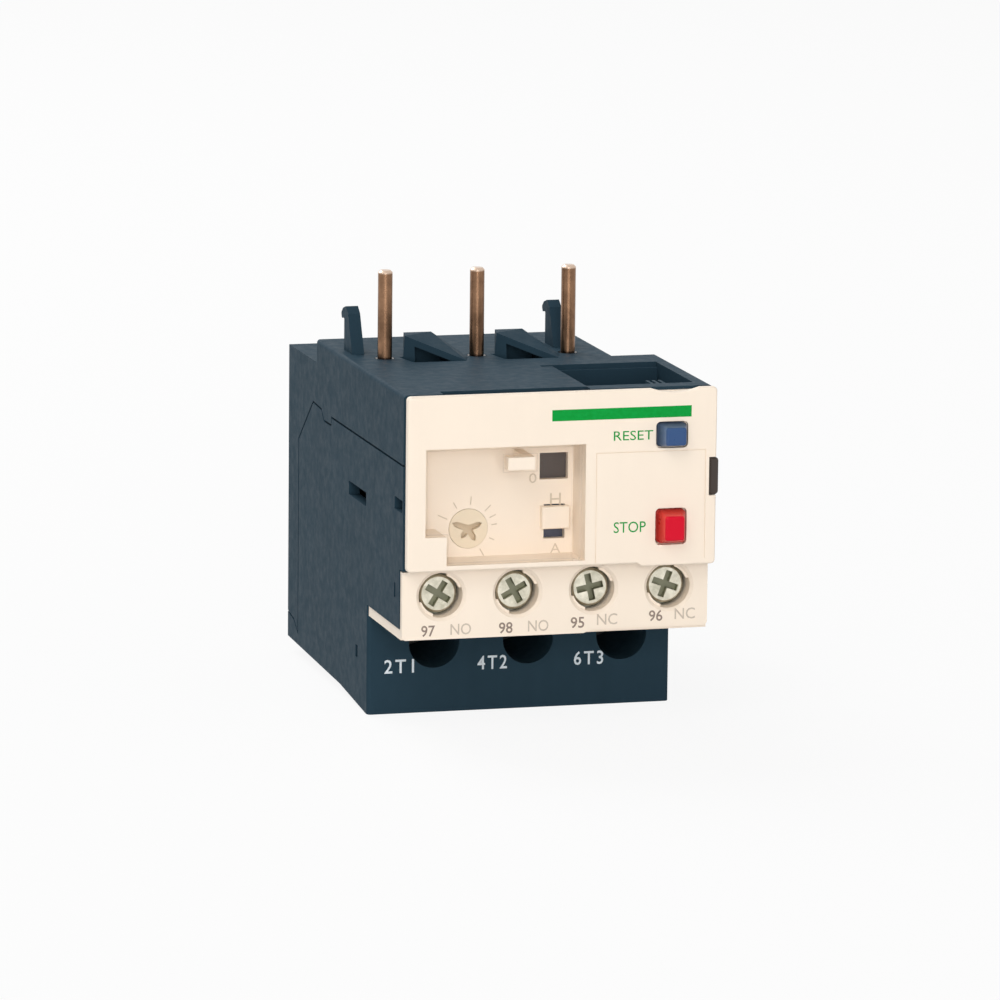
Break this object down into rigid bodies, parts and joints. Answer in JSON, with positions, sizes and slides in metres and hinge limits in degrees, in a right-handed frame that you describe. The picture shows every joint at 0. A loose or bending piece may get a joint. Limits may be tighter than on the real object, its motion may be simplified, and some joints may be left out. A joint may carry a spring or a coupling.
{
  "type": "thermal overload relay",
  "caption": "Thermal overload relay with copper line pins on top, a cream front with flap, reset and stop buttons, control terminals and a stepped dark body",
  "frame": {"origin": "where the axis of the middle line pin leaves the deck of the rear housing", "axes": "+Z along the line pins and away from the body, +Y from the front cover to the back, +X to the right as seen from the front"},
  "size_m": [0.0453, 0.0702, 0.0623],
  "materials": {
    "dark_plastic": "moulded, fine matt grain",
    "cream_plastic": "moulded, satin",
    "clear_plastic": "clear polycarbonate, polished",
    "brown_plastic": "moulded, matt",
    "white_plastic": "moulded, matt",
    "blue_plastic": "moulded, satin",
    "dark_blue_plastic": "moulded, matt",
    "red_plastic": "moulded, satin",
    "flag_plastic": "moulded, matt",
    "spring_steel": "drawn wire",
    "spring_bronze": "rolled strip",
    "plated_steel": "zinc plated",
    "screw_steel": "zinc plated, turned",
    "bimetal_strip": "rolled strip",
    "heater_alloy": "oxidised flat wire",
    "copper": "copper, lightly oxidised"
  },
  "bodies": {
    "housing": {"main_housing": "dark_plastic", "rear_housing": "dark_plastic", "front_cover": "cream_plastic", "auxiliary_terminal_strip": "cream_plastic", "side_latch": "brown_plastic", "reset_spring": "spring_steel", "stop_spring": "spring_steel", "selector_plate": "dark_blue_plastic", "terminal_plate_97": "plated_steel", "terminal_plate_98": "plated_steel", "terminal_plate_95": "plated_steel", "terminal_plate_96": "plated_steel", "auxiliary_screws": "screw_steel", "clamp_washers": "plated_steel", "compensation_pivot": "screw_steel", "crank_pivot": "screw_steel", "line_pin_1": "copper", "load_strap_1": "copper", "terminal_cage_1": "plated_steel", "terminal_screw_1": "screw_steel", "line_pin_2": "copper", "load_strap_2": "copper", "terminal_cage_2": "plated_steel", "terminal_screw_2": "screw_steel", "line_pin_3": "copper", "load_strap_3": "copper", "terminal_cage_3": "plated_steel", "terminal_screw_3": "screw_steel"},
    "flap": {"clear_cover": "clear_plastic"},
    "dial": {"setting_dial": "cream_plastic"},
    "follower": {"setting_follower": "white_plastic"},
    "reset": {"reset_button": "blue_plastic"},
    "stop": {"stop_button": "red_plastic"},
    "selector": {"mode_selector": "cream_plastic"},
    "overload": {"overload_slide": "white_plastic", "differential_lever": "brown_plastic"},
    "differential": {"differential_slide": "white_plastic"},
    "phase_1": {"bimetal_1": "bimetal_strip", "heater_1": "heater_alloy"},
    "phase_2": {"bimetal_2": "bimetal_strip", "heater_2": "heater_alloy"},
    "phase_3": {"bimetal_3": "bimetal_strip", "heater_3": "heater_alloy"},
    "compensation": {"compensation_lever": "bimetal_strip"},
    "crank": {"trip_crank": "brown_plastic"},
    "carriage": {"contact_carriage": "white_plastic", "trip_flag": "flag_plastic"},
    "open_contact": {"open_contact_spring": "spring_bronze"},
    "closed_contact": {"closed_contact_spring": "spring_bronze"}
  },
  "joints": [
    {"name": "flap_hinge", "type": "hinge", "parent": "housing", "child": "flap", "pos_m": [0.0056, -0.03355, -0.0157], "axis": [0, 0, 1], "range_deg": [0, 90]},
    {"name": "dial_turn", "type": "hinge", "parent": "housing", "child": "dial", "pos_m": [-0.0086, -0.0274, -0.02], "axis": [0, 1, 0], "range_deg": [0, 215]},
    {"name": "follower_turn", "type": "hinge", "parent": "housing", "child": "follower", "pos_m": [-0.0152, -0.0244, -0.0185], "axis": [0, -1, 0], "range_deg": [0, 10.6]},
    {"name": "reset_press", "type": "slide", "parent": "housing", "child": "reset", "axis": [0, 1, 0], "range_m": [0, 0.0025], "stiffness_N_per_m": 300, "deforming": ["reset_spring"]},
    {"name": "stop_press", "type": "slide", "parent": "housing", "child": "stop", "axis": [0, 1, 0], "range_m": [0, 0.002], "stiffness_N_per_m": 300, "deforming": ["stop_spring"]},
    {"name": "selector_shift", "type": "slide", "parent": "housing", "child": "selector", "axis": [0, 0, -1], "range_m": [0, 0.0014]},
    {"name": "overload_travel", "type": "slide", "parent": "housing", "child": "overload", "axis": [-1, 0, 0], "range_m": [0, 0.0012], "stiffness_N_per_m": 300},
    {"name": "differential_travel", "type": "slide", "parent": "housing", "child": "differential", "axis": [-1, 0, 0], "range_m": [0, 0.0012]},
    {"name": "bimetal_bend_1", "type": "hinge", "parent": "housing", "child": "phase_1", "pos_m": [-0.01367, 0, -0.0074], "axis": [0, 1, 0], "range_deg": [0, 3.37]},
    {"name": "bimetal_bend_2", "type": "hinge", "parent": "housing", "child": "phase_2", "pos_m": [0, 0, -0.0074], "axis": [0, 1, 0], "range_deg": [0, 3.37]},
    {"name": "bimetal_bend_3", "type": "hinge", "parent": "housing", "child": "phase_3", "pos_m": [0.01367, 0, -0.0074], "axis": [0, 1, 0], "range_deg": [0, 3.37]},
    {"name": "compensation_turn", "type": "hinge", "parent": "housing", "child": "compensation", "pos_m": [-0.0152, -0.0153, -0.0185], "axis": [0, 1, 0], "range_deg": [0, 6.75]},
    {"name": "crank_turn", "type": "hinge", "parent": "housing", "child": "crank", "pos_m": [-0.0135, -0.016, -0.0045], "axis": [0, -1, 0], "range_deg": [0, 8.04]},
    {"name": "carriage_lift", "type": "slide", "parent": "housing", "child": "carriage", "axis": [0, 0, 1], "range_m": [0, 0.0024]},
    {"name": "open_contact_bend", "type": "hinge", "parent": "housing", "child": "open_contact", "pos_m": [-0.01575, -0.0191, -0.0225], "axis": [0, -1, 0], "range_deg": [0, 8.19]},
    {"name": "closed_contact_bend", "type": "hinge", "parent": "housing", "child": "closed_contact", "pos_m": [0.02235, -0.0191, -0.0225], "axis": [0, 1, 0], "range_deg": [0, 8.47]}
  ],
  "couplings": [
    {"joint": "follower_turn", "follows": "dial_turn", "ratio": 0.0484},
    {"joint": "differential_travel", "follows": "overload_travel", "ratio": 1},
    {"joint": "bimetal_bend_1", "follows": "overload_travel", "rad_per_m": 48.333},
    {"joint": "bimetal_bend_2", "follows": "overload_travel", "rad_per_m": 48.333},
    {"joint": "bimetal_bend_3", "follows": "overload_travel", "rad_per_m": 48.333},
    {"joint": "compensation_turn", "follows": "overload_travel", "rad_per_m": 97.5},
    {"joint": "crank_turn", "follows": "overload_travel", "rad_per_m": 116.25},
    {"joint": "carriage_lift", "follows": "overload_travel", "ratio": 2},
    {"joint": "open_contact_bend", "follows": "overload_travel", "rad_per_m": 118.33},
    {"joint": "closed_contact_bend", "follows": "overload_travel", "rad_per_m": 122.5}
  ]
}
